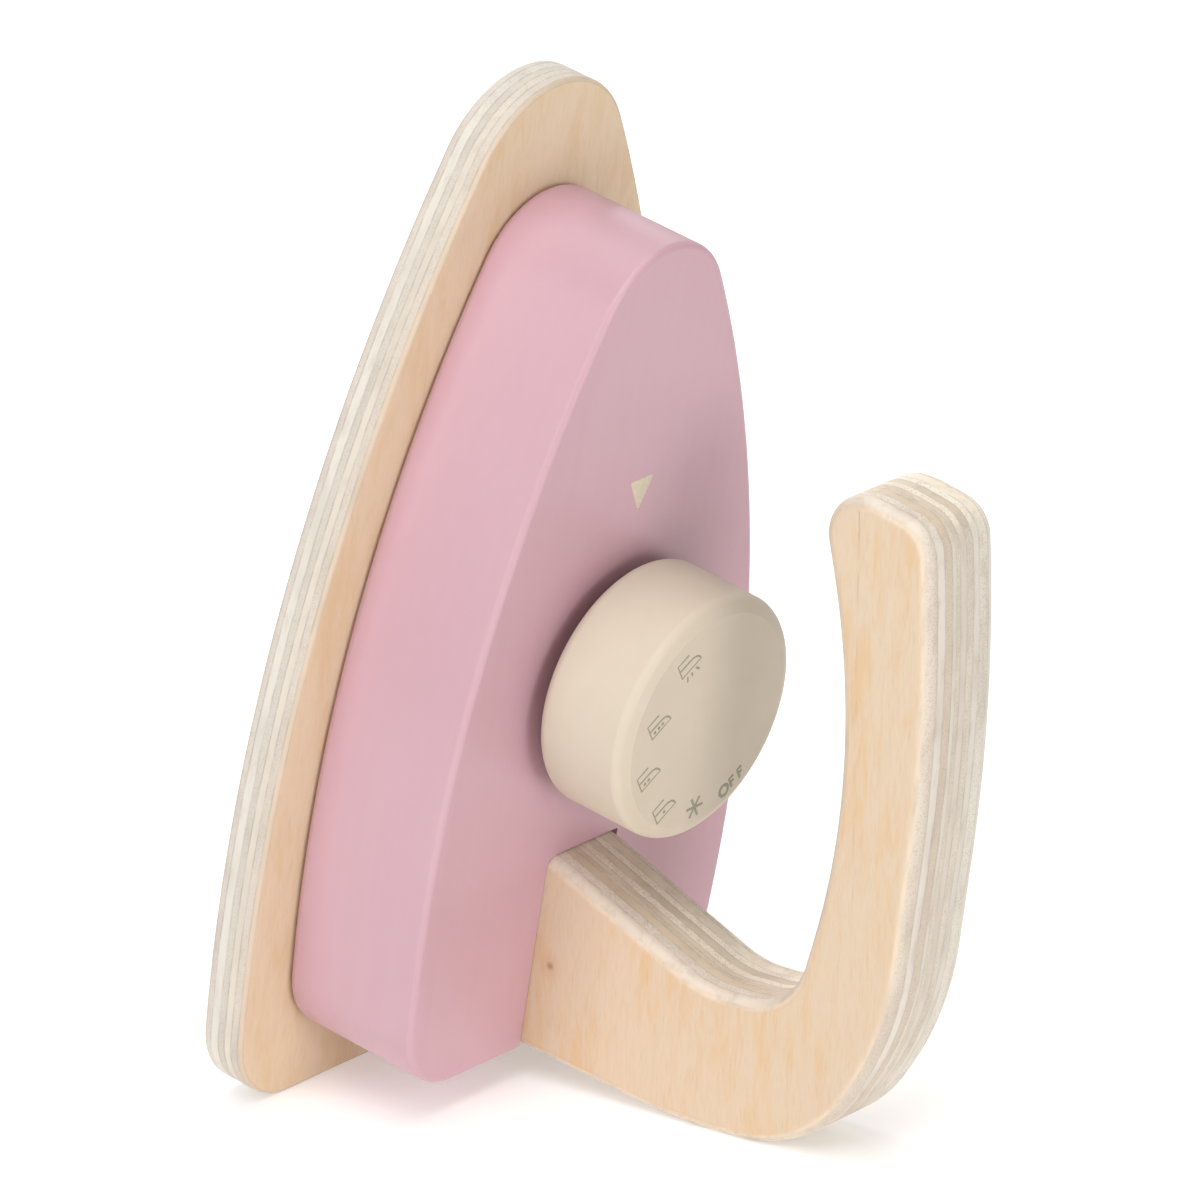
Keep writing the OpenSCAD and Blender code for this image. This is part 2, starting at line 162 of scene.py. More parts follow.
def turnProfile(bm, corners, centre, low, steps=drawing["turnSteps"], closed=False):
    # Draws a profile of radius, height and fillet, and turns it about the lathe's axis
    traceCorners(bm, corners, closed=closed)
    bmesh.ops.rotate(bm, verts=bm.verts, cent=(0, 0, 0), matrix=Matrix.Rotation(math.pi / 2, 3, "X"))
    bmesh.ops.spin(
        bm, geom=bm.verts[:] + bm.edges[:], cent=(0, 0, 0), axis=(0, 0, 1), dvec=(0, 0, 0),
        angle=2 * math.pi, steps=steps, use_merge=True, use_duplicate=False,
    )
    bmesh.ops.remove_doubles(bm, verts=bm.verts, dist=drawing["mergeDistance"])
    bmesh.ops.translate(bm, verts=bm.verts, vec=(centre[0], centre[1], low))
    bmesh.ops.recalc_face_normals(bm, faces=bm.faces)


def makeBores(places, *steps):
    # A cutter at each place, through steps of radius and height from its low end to its high one
    bores = []
    profile = [(0, steps[0][1], 0), *[(radius, height, 0) for radius, height in steps], (0, steps[-1][1], 0)]
    for place in places:
        bore = bmesh.new()
        turnProfile(bore, profile, place, 0, steps=drawing["boreSteps"])
        bores.append(bore)
    return bores


def toObject(bm, name):
    mesh = bpy.data.meshes.new(name)
    bm.to_mesh(mesh)
    bm.free()
    piece = bpy.data.objects.new(name, mesh)
    bpy.context.scene.collection.objects.link(piece)
    return piece


def cutAway(bm, cutters):
    # Cuts shapes out of a solid, one after the other
    piece = toObject(bm, "work")
    tools = []
    for cutter in cutters:
        tools.append(toObject(cutter, "cutter"))
        cut = piece.modifiers.new("cut", "BOOLEAN")
        cut.object = tools[-1]
        cut.operation = "DIFFERENCE"
        cut.solver = "EXACT"
    graph = bpy.context.evaluated_depsgraph_get()
    mesh = bpy.data.meshes.new_from_object(piece.evaluated_get(graph))
    result = bmesh.new()
    result.from_mesh(mesh)
    for tool in tools + [piece]:
        bpy.data.objects.remove(tool)
    bmesh.ops.remove_doubles(result, verts=result.verts, dist=drawing["mergeDistance"])
    return result


def placePiece(bm, name, material, body, replaced=None, sharpAngle=35, weighted=True):
    # Stands a finished piece in the CAD's frame, smooths it and hands it to its body
    bmesh.ops.recalc_face_normals(bm, faces=bm.faces)
    bmesh.ops.transform(bm, matrix=standing, verts=bm.verts)
    piece = toObject(bm, name)
    piece.data.shade_smooth()
    piece.data.set_sharp_from_angle(angle=math.radians(sharpAngle))
    piece.data.materials.append(material)
    if weighted:
        normals = piece.modifiers.new("normals", "WEIGHTED_NORMAL")
        normals.mode = "FACE_AREA"
        normals.keep_sharp = True
    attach(piece, body)
    if replaced:
        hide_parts(replaced)


# Shader nodes
def addNode(tree, kind, **settings):
    node = tree.nodes.new(kind)
    for key, value in settings.items():
        setattr(node, key, value)
    return node


def linear(red, green, blue):
    # A colour as it is picked on screen, in the linear values that a shader takes
    shares = (red / 255, green / 255, blue / 255)
    return tuple(s / 12.92 if s <= 0.04045 else ((s + 0.055) / 1.055) ** 2.4 for s in shares)


def feed(tree, socket, value):
    # Links a socket to another node's output, or sets it to a fixed value or a screen colour
    if isinstance(value, bpy.types.NodeSocket):
        tree.links.new(value, socket)
    elif value is not None:
        socket.default_value = (*linear(*value), 1) if socket.type == "RGBA" else value


def mathNode(tree, operation, *values, clamp=False):
    node = addNode(tree, "ShaderNodeMath", operation=operation, use_clamp=clamp)
    for socket, value in zip(node.inputs, values):
        feed(tree, socket, value)
    return node.outputs[0]


def vectorNode(tree, operation, first, second, output="Vector"):
    node = addNode(tree, "ShaderNodeVectorMath", operation=operation)
    feed(tree, node.inputs[0], first)
    feed(tree, node.inputs[1], second)
    return node.outputs[output]


def rampNode(tree, value, low, high, toLow=0.0, toHigh=1.0):
    # A smooth step of a value between two limits
    node = addNode(tree, "ShaderNodeMapRange", interpolation_type="SMOOTHSTEP")
    limits = {"Value": value, "From Min": low, "From Max": high, "To Min": toLow, "To Max": toHigh}
    for name, limit in limits.items():
        feed(tree, node.inputs[name], limit)
    return node.outputs["Result"]


def mixNode(tree, factor, first, second, kind="RGBA"):
    # Goes from the first colour or value to the second as the factor rises
    node = addNode(tree, "ShaderNodeMix", data_type=kind)
    firstSocket, secondSocket, result = (6, 7, 2) if kind == "RGBA" else (2, 3, 0)
    for socket, value in ((0, factor), (firstSocket, first), (secondSocket, second)):
        feed(tree, node.inputs[socket], value)
    return node.outputs[result]


def noiseNode(tree, vector, scale, detail, roughness, distortion):
    # Noise on a vector, with its own scale for each direction
    node = addNode(tree, "ShaderNodeTexNoise")
    settings = {
        "Vector": vectorNode(tree, "MULTIPLY", vector, scale), "Scale": 1, "Detail": detail,
        "Roughness": roughness, "Distortion": distortion,
    }
    for name, setting in settings.items():
        feed(tree, node.inputs[name], setting)
    return node.outputs["Fac"]


def newGroup(name, inputs, outputs):
    # Starts a node group, from its inputs' kinds and first values and its outputs' kinds
    group = bpy.data.node_groups.new(name, "ShaderNodeTree")
    for socket, (kind, value) in inputs.items():
        made = group.interface.new_socket(name=socket, in_out="INPUT", socket_type="NodeSocket" + kind)
        if value is not None:
            made.default_value = value
    for socket, kind in outputs.items():
        group.interface.new_socket(name=socket, in_out="OUTPUT", socket_type="NodeSocket" + kind)
    return group, addNode(group, "NodeGroupInput").outputs, addNode(group, "NodeGroupOutput").inputs


def useGroup(tree, group, **values):
    node = addNode(tree, "ShaderNodeGroup", node_tree=group)
    for name, value in values.items():
        feed(tree, node.inputs[name], value)
    return node.outputs


def arrangeNodes(tree, width=220, height=280):
    # Lays the nodes out in columns, by how many links away from the last node they are
    columns = {node.name: 0 for node in tree.nodes}
    for _ in columns:
        for link in tree.links:
            before, after = link.from_node.name, link.to_node.name
            columns[before] = max(columns[before], columns[after] + 1)
    for column in set(columns.values()):
        for row, node in enumerate([n for n in tree.nodes if columns[n.name] == column]):
            node.location = (-width * column, -height * row)


# Birch veneer seen face on: its fibres run along the vector's Y, in millimetres
veneer = {
    # noise as its scale in each direction, detail, roughness and distortion
    "patches": ((0.11, 0.035, 0.11), 2, 0.5, 0.6), "flames": ((0.42, 0.085, 0.42), 3, 0.6, 0.8),
    "streaks": ((1.5, 0.1, 1.5), 3, 0.6, 0.3), "fibres": ((4.2, 0.34, 4.2), 2, 0.6, 0.2),
    # ramps from a low to a high value, and what they give there
    "warmRamp": (0.44, 0.66), "darkRamp": (0.46, 0.74, 0.0, 0.30),
    "patchShare": 0.45, "streakShare": 0.35,
}


def makeFaceGroup():
    group, given, result = newGroup(
        "birchFace",
        {"Vector": ("Vector", None), "Pale": ("Color", None), "Warm": ("Color", None),
         "Fibre": ("Color", None)},
        {"Color": "Color", "Height": "Float"},
    )
    patches, flames, streaks, fibres = [
        noiseNode(group, given["Vector"], *veneer[noise])
        for noise in ("patches", "flames", "streaks", "fibres")
    ]
    warmth = mixNode(group, veneer["patchShare"], flames, patches, "FLOAT")
    grain = mixNode(group, veneer["streakShare"], fibres, streaks, "FLOAT")
    base = mixNode(group, rampNode(group, warmth, *veneer["warmRamp"]), given["Pale"], given["Warm"])
    dark = rampNode(group, grain, *veneer["darkRamp"])
    feed(group, result["Color"], mixNode(group, dark, base, given["Fibre"]))
    feed(group, result["Height"], mathNode(group, "MULTIPLY", grain, -1))
    return group


# The edge of plywood: each ply's own tone, with streaks, pores where it is cut across its grain,
# and broken dark glue lines between the plies. The place counts the plies through the board.
plyCut = {
    # noise as its scale in each direction, detail, roughness and distortion
    "streaks": ((0.55, 0.13, 0.55), 4, 0.65, 0.2), "pores": ((3.8, 3.8, 3.8), 2, 0.7, 0),
    "blots": ((0.12, 0.05, 0.12), 2, 0.5, 0), "breaks": ((0.5, 0.16, 0.5), 3, 0.6, 0),
    # ramps from a low to a high value, and what they give there
    "crossCutRamp": (0.35, 0.85), "streakRamp": (0.46, 0.72, 0, 0.28), "poreRamp": (0.5, 0.66),
    "blotRamp": (0.45, 0.7, 0, 0.18), "breakRamp": (0.36, 0.6, 0.25, 1.0), "glueRamp": (0.03, 0.15, 1.0, 0.0),
    "plyShift": 7.3, "poreTone": 0.5, "poreDepth": 0.8,
    "poresFrom": 1, "glueFrom": 1.5,  # the face veneer has no pores, and no glue line round it
}


def makePlyGroup():
    group, given, result = newGroup(
        "plyEdge",
        {"Vector": ("Vector", None), "Place": ("Float", 0.0), "Tone": ("Color", None),
         "Pore": ("Color", None), "Glue": ("Color", None), "Glue Strength": ("Float", 0.6),
         "End Straight": ("Float", 0.0), "End Turned": ("Float", 1.0)},
        {"Color": "Color", "Height": "Float"},
    )
    vector, place = given["Vector"], given["Place"]
    ply = mathNode(group, "FLOOR", place)
    turned = mathNode(group, "PINGPONG", ply, 1)  # every other ply is laid crosswise
    ends = mixNode(group, turned, given["End Straight"], given["End Turned"], "FLOAT")
    crossCut = rampNode(group, ends, *plyCut["crossCutRamp"])
    # each ply has its own stretch of the noise
    shift = addNode(group, "ShaderNodeCombineXYZ")
    feed(group, shift.inputs[0], mathNode(group, "MULTIPLY", ply, plyCut["plyShift"]))
    layered = vectorNode(group, "ADD", vector, shift.outputs[0])
    streaks, pores, blots = [
        noiseNode(group, layered, *plyCut[noise]) for noise in ("streaks", "pores", "blots")
    ]
    inner = mathNode(group, "GREATER_THAN", place, plyCut["poresFrom"])
    poreMask = rampNode(group, pores, *plyCut["poreRamp"])
    poreMask = mathNode(group, "MULTIPLY", poreMask, mathNode(group, "MULTIPLY", crossCut, inner))
    colour = mixNode(group, rampNode(group, streaks, *plyCut["streakRamp"]), given["Tone"], given["Pore"])
    colour = mixNode(group, mathNode(group, "MULTIPLY", poreMask, plyCut["poreTone"]), colour, given["Pore"])
    colour = mixNode(group, rampNode(group, blots, *plyCut["blotRamp"]), colour, given["Glue"])
    # the glue line lies where one ply ends and the next begins
    within = mathNode(group, "FRACT", place)
    edge = mathNode(group, "MINIMUM", within, mathNode(group, "SUBTRACT", 1, within))
    breaks = rampNode(group, noiseNode(group, vector, *plyCut["breaks"]), *plyCut["breakRamp"])
    line = mathNode(group, "MULTIPLY", rampNode(group, edge, *plyCut["glueRamp"]), breaks)
    line = mathNode(group, "MULTIPLY", line, given["Glue Strength"])
    line = mathNode(group, "MULTIPLY", line, mathNode(group, "GREATER_THAN", place, plyCut["glueFrom"]))
    feed(group, result["Color"], mixNode(group, line, colour, given["Glue"]))
    rough = mathNode(group, "ADD", line, mathNode(group, "MULTIPLY", poreMask, plyCut["poreDepth"]))
    feed(group, result["Height"], mathNode(group, "MULTIPLY", rough, -1))
    return group


# Brushed paint over wood: the faint peel of the paint, and the wood's grain under it
paintSkin = {
    # noise as its scale in each direction, detail, roughness and distortion
    "peel": ((0.9, 0.9, 0.9), 2, 0.5, 0), "cloud": ((0.03, 0.03, 0.03), 2, 0.5, 0),
    "grain": (3, 0.5, 0.2),  # its scale comes with each paint
    "cloudShare": 0.7, "ramp": (0.3, 0.7), "roughnessSpread": 0.03, "bump": 0.12,
}


def makePaintGroup():
    group, given, result = newGroup(
        "paintSkin",
        {"Vector": ("Vector", None), "Grain": ("Vector", (0.5, 0.02, 0.5)), "Peel": ("Float", 0.5)},
        {"Shade": "Float", "Height": "Float"},
    )
    grain = noiseNode(group, given["Vector"], given["Grain"], *paintSkin["grain"])
    peel = noiseNode(group, given["Vector"], *paintSkin["peel"])
    cloud = noiseNode(group, given["Vector"], *paintSkin["cloud"])
    peel = mathNode(group, "MULTIPLY", peel, given["Peel"])
    feed(group, result["Height"], mathNode(group, "ADD", peel, grain))
    feed(group, result["Shade"], mixNode(group, paintSkin["cloudShare"], grain, cloud, "FLOAT"))
    return group


faceGroup, plyGroup, paintGroup = makeFaceGroup(), makePlyGroup(), makePaintGroup()
for group in (faceGroup, plyGroup, paintGroup):
    arrangeNodes(group)
print("node groups made")


# Materials
def newMaterial(name, roughness, **fixed):
    material = bpy.data.materials.new(name)
    material.use_nodes = True
    shader = material.node_tree.nodes["Principled BSDF"]
    shader.inputs["Roughness"].default_value = roughness
    for key, value in fixed.items():
        shader.inputs[key.replace("_", " ")].default_value = value
    return material, material.node_tree, shader.inputs


def lyingCoordinates(tree):
    # Object coordinates brought back to the lying iron, in millimetres, and the surface's normal
    place = addNode(tree, "ShaderNodeTexCoord")
    mapping = addNode(tree, "ShaderNodeMapping", vector_type="TEXTURE")
    feed(tree, mapping.inputs["Vector"], place.outputs["Object"])
    feed(tree, mapping.inputs["Location"], standing.translation)
    feed(tree, mapping.inputs["Rotation"], (math.pi / 2 + lean, 0, 0))
    feed(tree, mapping.inputs["Scale"], (millimetre, millimetre, millimetre))
    return mapping.outputs[0], place.outputs["Normal"]


def addBump(tree, shader, height, strength, distance=0.0001):
    # The distance is the height of a full bump, in metres
    bump = addNode(tree, "ShaderNodeBump")
    for name, value in {"Height": height, "Strength": strength, "Distance": distance}.items():
        feed(tree, bump.inputs[name], value)
    feed(tree, shader["Normal"], bump.outputs[0])


def plyTones(tree, share, starts, tones):
    # Each ply's tone, as one band of a ramp across the board
    node = addNode(tree, "ShaderNodeValToRGB")
    node.color_ramp.interpolation = "CONSTANT"
    bands = node.color_ramp.elements
    for i, (start, tone) in enumerate(zip(starts, tones)):
        band = bands[i] if i < 2 else bands.new(start)  # a new ramp has two bands already
        band.position = start
        band.color = (*linear(*tone), 1)
    feed(tree, node.inputs[0], share)
    return node.outputs["Color"]


def plyCount(tree, share, starts):
    # Turns the share of the board's thickness into a count of uneven plies
    node = addNode(tree, "ShaderNodeFloatCurve")
    points = node.mapping.curves[0].points
    for i, start in enumerate(starts[1:], 1):
        points.new(start, i / len(starts))
    for point in points:
        point.handle_type = "VECTOR"
    node.mapping.update()
    feed(tree, node.inputs["Value"], share)
    return mathNode(tree, "MULTIPLY", node.outputs[0], len(starts))


def addKnot(tree, colour, lying, knot):
    # A pin knot in a warm halo: each ring is drawn over the ones before it
    apart = vectorNode(tree, "DISTANCE", lying, knot["at"], "Value")
    for ramp, tone in knot["rings"]:
        colour = mixNode(tree, rampNode(tree, apart, *ramp), colour, tone)
    return colour


bareWood = {
    "roughness": 0.6, "bump": 0.4, "faceRamp": (0.92, 0.99), "endRamp": (0.5, 0.9),
    "wanderNoise": ((0.09, 0.05, 0.09), 3, 0.55, 0),
}


def lookingAlong(tree, normal, direction):
    # How squarely the surface looks along a direction of the lying iron, either way
    turned = standing.to_3x3().normalized() @ Vector(direction)
    return mathNode(tree, "ABSOLUTE", vectorNode(tree, "DOT_PRODUCT", normal, turned, "Value"))


def makePlywood(name, board, face, ply):
    # Bare plywood: veneer where the surface looks along the board's normal, plies elsewhere
    material, tree, shader = newMaterial(name, bareWood["roughness"])
    lying, normal = lyingCoordinates(tree)
    facing = lookingAlong(tree, normal, board["normal"])
    straight = lookingAlong(tree, normal, board["grain"])
    crosswise = lookingAlong(tree, normal, board["crossGrain"])
    faceMask = rampNode(tree, facing, *bareWood["faceRamp"])
    turned = addNode(tree, "ShaderNodeMapping", vector_type="POINT")
    feed(tree, turned.inputs["Vector"], lying)
    feed(tree, turned.inputs["Rotation"], board["grainTurn"])
    faceLook = useGroup(tree, faceGroup, Vector=turned.outputs[0], **face)
    # the share of the board's thickness, on lines that wander a little
    wander = mathNode(tree, "SUBTRACT", noiseNode(tree, lying, *bareWood["wanderNoise"]), 0.5)
    depth = vectorNode(tree, "DOT_PRODUCT", lying, board["normal"], "Value")
    share = mathNode(tree, "DIVIDE", mathNode(tree, "SUBTRACT", depth, board["from"]), board["thickness"])
    share = mathNode(tree, "ADD", share, mathNode(tree, "MULTIPLY", wander, board["wander"]), clamp=True)
    tones = plyTones(tree, share, board["plies"], board["tones"])
    # the end-grain tones carry painted light on the shaded slope
    if "endTonesWithPaintedLight" in board:
        endTonesWithPaintedLight = plyTones(tree, share, board["plies"], board["endTonesWithPaintedLight"])
        tones = mixNode(tree, rampNode(tree, straight, *bareWood["endRamp"]), tones, endTonesWithPaintedLight)
    place = plyCount(tree, share, board["plies"])
    ends = {"End Straight": straight, "End Turned": crosswise}
    plyLook = useGroup(tree, plyGroup, Vector=lying, Place=place, Tone=tones, **ends, **ply)
    colour = mixNode(tree, faceMask, plyLook["Color"], faceLook["Color"])
    if "knot" in board:
        colour = addKnot(tree, colour, lying, board["knot"])
    height = mixNode(tree, faceMask, plyLook["Height"], faceLook["Height"], "FLOAT")
    feed(tree, shader["Base Color"], colour)
    addBump(tree, shader, height, bareWood["bump"])
    arrangeNodes(tree)
    return material


def makePaint(name, colour, deeper, grain, roughness, peel):
    material, tree, shader = newMaterial(name, roughness)
    skin = useGroup(tree, paintGroup, Vector=lyingCoordinates(tree)[0], Grain=grain, Peel=peel)
    low, high = roughness - paintSkin["roughnessSpread"], roughness + paintSkin["roughnessSpread"]
    tone = rampNode(tree, skin["Shade"], *paintSkin["ramp"])
    feed(tree, shader["Base Color"], mixNode(tree, tone, colour, deeper))
    feed(tree, shader["Roughness"], rampNode(tree, skin["Shade"], *paintSkin["ramp"], low, high))
    addBump(tree, shader, skin["Height"], paintSkin["bump"])
    arrangeNodes(tree)
    return material


# Metal, felt, dowels and ink: a tone that wanders, and a fine surface
plainSkin = {"noise": (4, 0.6, 0), "ramp": (0.35, 0.65)}


def makePlain(name, colour, deeper, scale, roughness, bump=0.2, **fixed):
    material, tree, shader = newMaterial(name, roughness, **fixed)
    marks = noiseNode(tree, lyingCoordinates(tree)[0], scale, *plainSkin["noise"])
    feed(tree, shader["Base Color"], mixNode(tree, rampNode(tree, marks, *plainSkin["ramp"]), colour, deeper))
    addBump(tree, shader, marks, bump)
    arrangeNodes(tree)
    return material


# Paints: a tone and a deeper one, the scale of the grain, roughness and peel
pinkPaint = makePaint(
    "pinkPaint", (206, 166, 176), (203, 162, 172), (0.5, 0.02, 0.5), 0.36, 0.5)
creamPaint = makePaint(
    "creamPaint", (212, 200, 180), (209, 196, 176), (0.25, 0.25, 0.25), 0.5, 0.6)

# Plain finishes: a tone and a deeper one, the scale of the marks, and roughness
zincSteel = makePlain(
    "zincSteel", (206, 208, 212), (180, 184, 190), (8, 8, 0.6), 0.28, Metallic=1.0)
turnedBrass = makePlain(
    "turnedBrass", (214, 178, 104), (190, 150, 80), (0.6, 0.6, 9), 0.3, Metallic=1.0)
greyFelt = makePlain(
    "greyFelt", (120, 112, 106), (92, 86, 82), (5, 5, 5), 0.95, bump=0.8, Sheen_Weight=0.3)
beechDowel = makePlain("beechDowel", (214, 174, 132), (192, 148, 104), (3, 3, 0.2), 0.6)
dialInk = makePlain("dialInk", (157, 155, 133), (147, 144, 123), (3, 3, 3), 0.6, bump=0.1)
pointerInk = makePlain("pointerInk", (222, 208, 184), (214, 200, 176), (2, 2, 2), 0.55, bump=0.1)
print("materials made")

# Bores for the dowels that locate the sole plate on the body
dowel = {"radius": 3, "inSole": 5.2, "inBody": 15.3, "places": [(0, 132), (-24, 40), (24, 40)]}

# Sole plate
sole = {
    "heel": 0, "nose": 180, "width": 100.4, "widest": 36.6, "noseRound": 20, "heelRound": 14.5,
    "thickness": 8.6, "arris": 0.9,
}
# the plies start at these shares of the board's thickness, with a tone each; the last ply's tone, round the
# inner arris, is darkened as painted shade against the light that arris catches
soleBoard = {
    "normal": (0, 0, 1), "grain": (0, 1, 0), "crossGrain": (1, 0, 0),
    "from": -sole["thickness"], "thickness": sole["thickness"],
    "grainTurn": (0, 0, 0), "wander": 0.012,
    "plies": [0, 0.055, 0.195, 0.395, 0.555, 0.725, 0.9],
    "tones": [
        (217, 199, 176), (219, 208, 196), (225, 218, 206), (214, 204, 192), (223, 212, 197), (219, 207, 193),
        (214, 193, 169),
    ],
}
soleWood = makePlywood(
    "solePlywood", soleBoard,
    {"Pale": (226, 203, 173), "Warm": (222, 194, 156), "Fibre": (202, 169, 133)},
    {"Pore": (188, 178, 166), "Glue": (150, 138, 124), "Glue Strength": 0.4},
)


def makeSole():
    bm = bmesh.new()
    traceIron(bm, sole)
    raisePlate(bm, -sole["thickness"], 0)
    roundArris(bm, -sole["thickness"], sole["arris"])
    roundArris(bm, 0, sole["arris"])
    radius = dowel["radius"]
    bm = cutAway(bm, makeBores(dowel["places"], (radius, -dowel["inSole"]), (radius, drawing["overrun"])))
    placePiece(bm, "solePlate", soleWood, "iron", "sole_plate")


makeSole()
print("sole plate made")

# Body
block = {
    "heel": 12.1, "nose": 161.2, "width": 80.8, "widest": 45, "noseRound": 16.5, "heelRound": 13,
    "depth": bodyDepth, "frontArris": 1.2, "backArris": 1.8,
    # the handle's slot, and how far its cutter stands proud
    "slotHalf": 9.1, "slotFloor": 12.7, "slotFrom": 5, "slotEnd": 49.2, "slotRound": 2.2, "slotProud": 5,
    "slotGapRound": 0.3,  # squarer than the handle's arris, so a dark gap shows there
    "screwPlaces": [(0, 21.72), (0, 39.48)], "screwRound": 2.3,
    "screwHeadRound": 4.2, "screwHeadRim": 0.3, "screwHeadDepth": 2.2,
    "counterRound": 6.2, "counterDepth": 9, "spindleRound": 2.58,
}


def makeBody():
    bm = bmesh.new()
    traceIron(bm, block)
    depth, floor, overrun = block["depth"], block["slotFloor"], drawing["overrun"]
    raisePlate(bm, 0, depth)
    roundArris(bm, 0, block["backArris"])
    roundArris(bm, depth, block["frontArris"], drawing["fineArrisSteps"])
    slot = bmesh.new()
    half, start, end = block["slotHalf"], block["slotFrom"], block["slotEnd"]
    traceCorners(slot, [
        (-half, start, 0), (half, start, 0),
        (half, end, block["slotGapRound"]), (-half, end, block["slotRound"]),
    ])
    raisePlate(slot, floor, depth + block["slotProud"])
    dowelBores = makeBores(dowel["places"], (dowel["radius"], -overrun), (dowel["radius"], dowel["inBody"]))
    head, shank = block["screwHeadRound"], block["screwRound"]
    screwBores = makeBores(
        block["screwPlaces"], (head, -overrun), (head, block["screwHeadRim"]),
        (shank, block["screwHeadDepth"]), (shank, floor + overrun),
    )
    wide, narrow = block["counterRound"], block["spindleRound"]
    spindleBore = makeBores(
        [knobCentre.xy], (wide, -overrun), (wide, block["counterDepth"]),
        (narrow, block["counterDepth"]), (narrow, depth + overrun),
    )
    bm = cutAway(bm, [slot] + dowelBores + screwBores + spindleBore)
    placePiece(bm, "bodyBlock", pinkPaint, "iron", "body")


makeBody()
print("body made")

# Handle
hook = {
    "thickness": 18, "arris": 2.2, "heel": block["heel"], "tip": 138.6, "base": block["depth"],
    "reach": 101.7, "footEnd": 49.1, "bendDepth": 26.5, "gripDepth": 17.6, "tipDepth": 23,
    # outer corners from foot to tip's crown: along the run, out, and fillet as a share of the rise
    "outer": [
        (0.013, 0.447, 1.5), (0.061, 0.831, 0.4), (0.285, 1, 0.78), (0.743, 0.98, 3.8),
        (1.002, 0.879, 0.092), (1.007, 0.717, 0.224),
    ],
    # inner side: the waist's height, the hollow and the grip along the run, with their fillets;
    # the grip's corner lies at a share of the grip's depth
    "waist": (0.478, 0.247), "hollow": (0.252, 0.719, 0.18), "grip": (0.639, 1.76, 0.818),
    "tipInner": (0.014, 0.103), "mouth": 0.124,
    "pilotRound": 2.1, "pilotFrom": 10, "pilotEnd": 40.8,
}
handleBoard = {
    "normal": (1, 0, 0), "grain": (0, 1, 0), "crossGrain": (0, 0, 1),
    "from": -hook["thickness"] / 2, "thickness": hook["thickness"],
    "grainTurn": (0, math.pi / 2, math.radians(-7)), "wander": 0.008,
    "plies": [0, 0.02, 0.14, 0.25, 0.36, 0.415, 0.475, 0.565, 0.665, 0.75, 0.88],
    "tones": [
        (228, 208, 184), (221, 207, 190), (226, 216, 203), (214, 198, 179), (219, 209, 194), (219, 207, 189),
        (216, 204, 190), (222, 211, 195), (220, 211, 198), (227, 219, 205), (226, 217, 205),
    ],
    # the plies' tones where the board is cut across its length: the end grain's own tones, with painted light
    # lifting the later plies, where the cut slope lies in shade
    "endTonesWithPaintedLight": [
        (232, 214, 192), (231, 217, 201), (232, 219, 204), (221, 202, 178), (221, 205, 184), (222, 207, 188),
        (244, 232, 212), (218, 203, 181), (246, 236, 219), (240, 228, 208), (245, 235, 220),
    ],
    # on the foot: each ring's ramp over the distance in millimetres, and its tone
    "knot": {"at": (-9, 30.1, 31.4), "rings": [
        ((0.3, 3.2, 0.45, 0.0), (209, 170, 137)), ((0.1, 1.1, 0.65, 0.0), (150, 110, 82)),
    ]},
}
handleWood = makePlywood(
    "handlePlywood", handleBoard,
    {"Pale": (221, 199, 172), "Warm": (221, 189, 149), "Fibre": (197, 161, 125)},
    {"Pore": (176, 158, 136), "Glue": (140, 120, 100), "Glue Strength": 0.24},
)


def handleCorners():
    heel, base = hook["heel"], hook["base"]
    run, rise = hook["tip"] - heel, hook["reach"] - base
    outer = [(heel + along * run, base + out * rise, fillet * rise) for along, out, fillet in hook["outer"]]
    waistOut, waistRound = hook["waist"]
    hollowAlong, hollowOut, hollowRound = hook["hollow"]
    gripAlong, gripRound, gripShare = hook["grip"]
    tipSlant, tipRound = hook["tipInner"]
    return [
        (hook["footEnd"], block["slotFloor"], 0),
        (hook["footEnd"], base, hook["mouth"] * rise),
        (outer[0][0] + hook["bendDepth"], base + waistOut * rise, waistRound * rise),
        (heel + hollowAlong * run, base + hollowOut * rise, hollowRound * rise),
        (heel + gripAlong * run, hook["reach"] - hook["gripDepth"] * gripShare, gripRound * rise),
        (outer[4][0] - tipSlant * run, outer[4][1] - hook["tipDepth"], tipRound * rise),
        *reversed(outer),
        (heel, block["slotFloor"], 0),
    ]


def makeHandle():
    bm = bmesh.new()
    traceCorners(bm, handleCorners())
    half = hook["thickness"] / 2
    raisePlate(bm, -half, half)
    roundArris(bm, -half, hook["arris"], drawing["fineArrisSteps"])
    roundArris(bm, half, hook["arris"], drawing["fineArrisSteps"])
    upright = Matrix.Rotation(math.pi / 2, 4, "Z") @ Matrix.Rotation(math.pi / 2, 4, "X")
    bmesh.ops.transform(bm, matrix=upright, verts=bm.verts)
    radius = hook["pilotRound"]
    bm = cutAway(bm, makeBores(block["screwPlaces"], (radius, hook["pilotFrom"]), (radius, hook["pilotEnd"])))
    placePiece(bm, "handleHook", handleWood, "iron", "handle")


makeHandle()
print("handle made")

# Knob
knobShape = {
    "radius": 22.1, "height": 18.5, "backRound": 2, "frontRound": 2, "rim": 2.6, "rimSlope": 25,
    "base": block["depth"] + 3,  # the felt lies in the gap
    "insertRound": 4, "flangeRound": 5.5, "flangeDepth": 1, "insertDepth": 12.5, "sharpAngle": 20,
}


